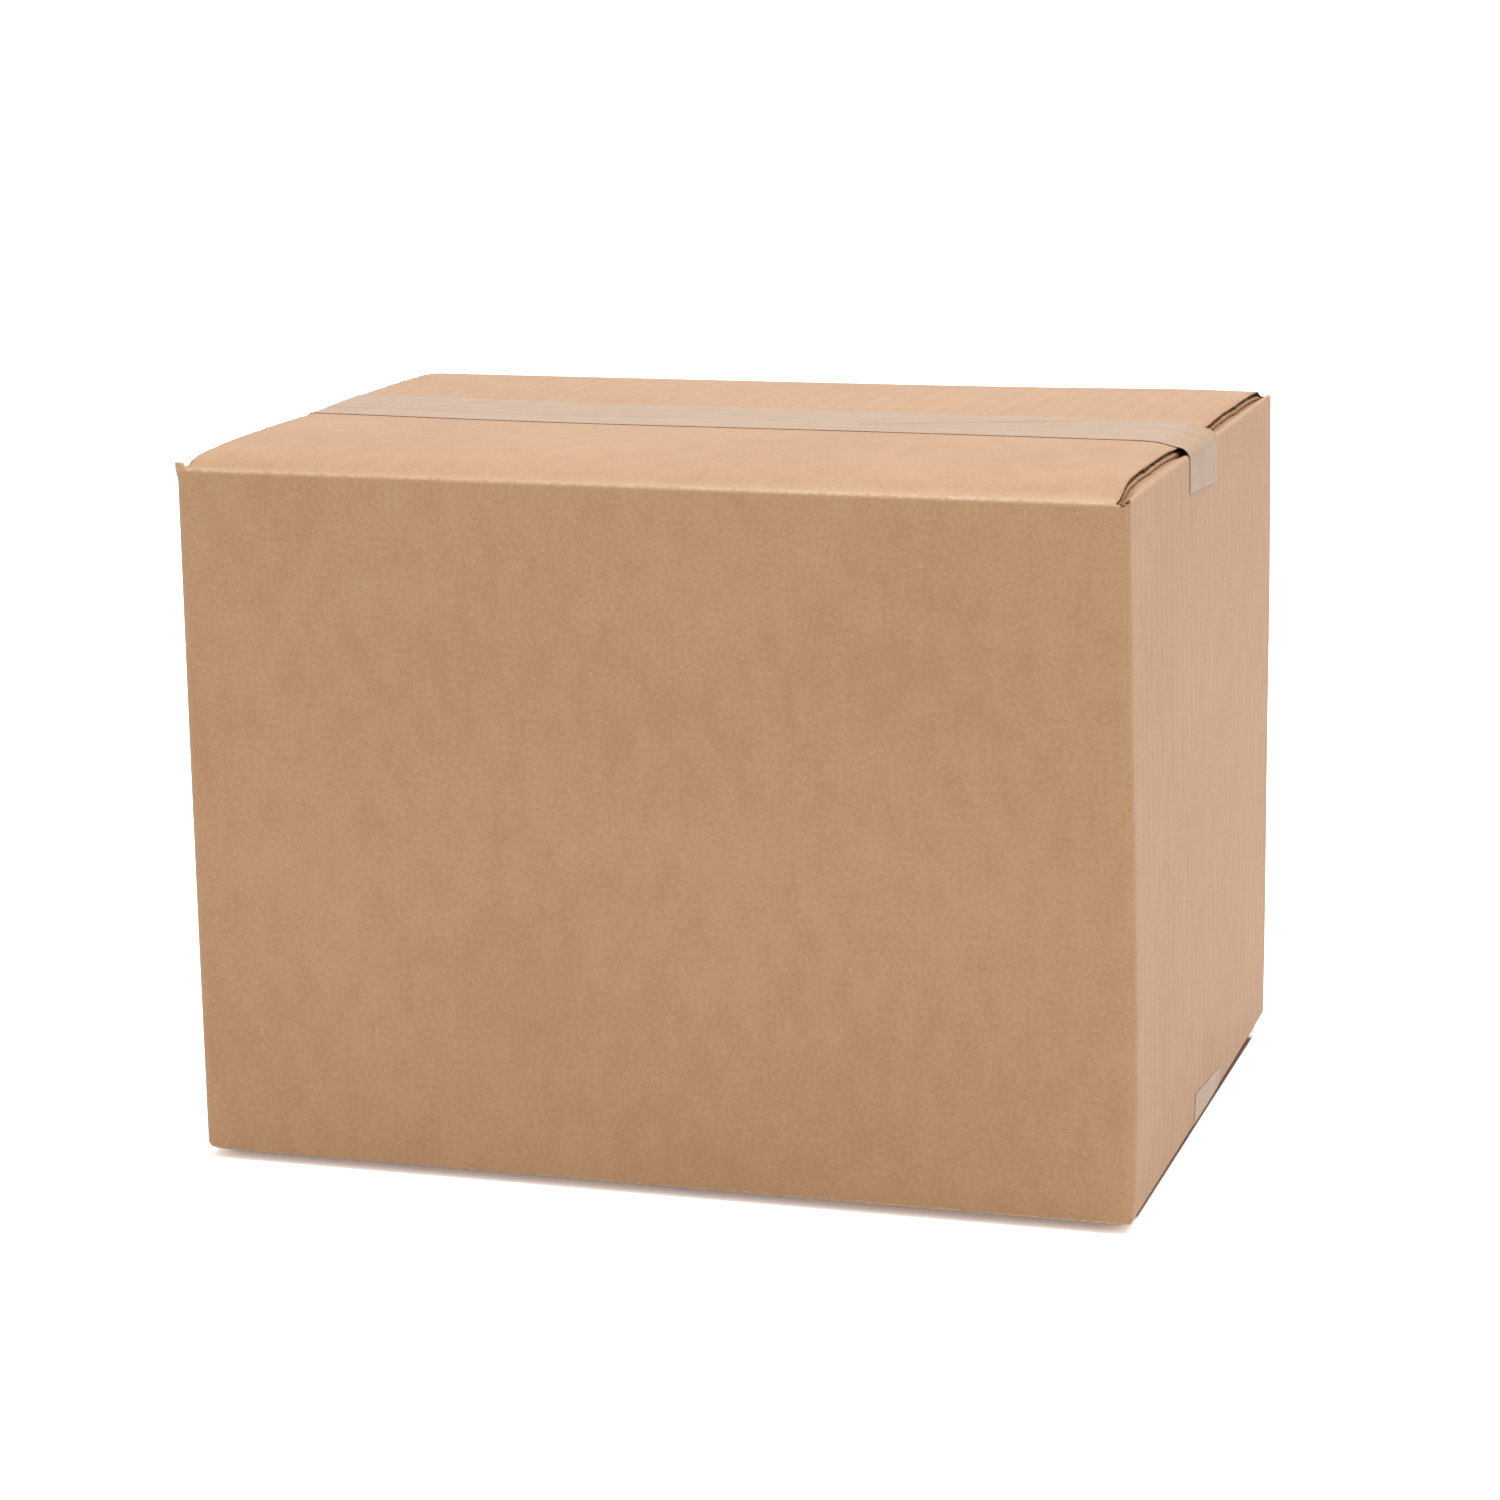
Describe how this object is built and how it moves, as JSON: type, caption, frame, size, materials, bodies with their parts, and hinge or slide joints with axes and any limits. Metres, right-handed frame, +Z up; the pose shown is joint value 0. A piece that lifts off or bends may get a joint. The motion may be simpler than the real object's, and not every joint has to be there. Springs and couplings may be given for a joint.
{
  "type": "closed cardboard box",
  "caption": "Closed corrugated shipping box: folded slotted blank with walls, folded flaps and a glued lap, its seams held shut with clear tape above and below.",
  "frame": {"origin": "on the ground under the middle of the box", "axes": "+Z up, +X along the length of the box, the front panel faces -Y and the taped end in view faces +X"},
  "size_m": [0.3362, 0.256, 0.2534],
  "materials": {
    "kraft_board": "matt unbleached kraft liner with a fine fibre grain and faint flute lines",
    "packing_tape": "clear polypropylene film with a satin sheen, slightly grey over the kraft board"
  },
  "bodies": {
    "root": {"carton": "kraft_board", "top_tape": "packing_tape", "bottom_tape": "packing_tape"}
  },
  "joints": []
}
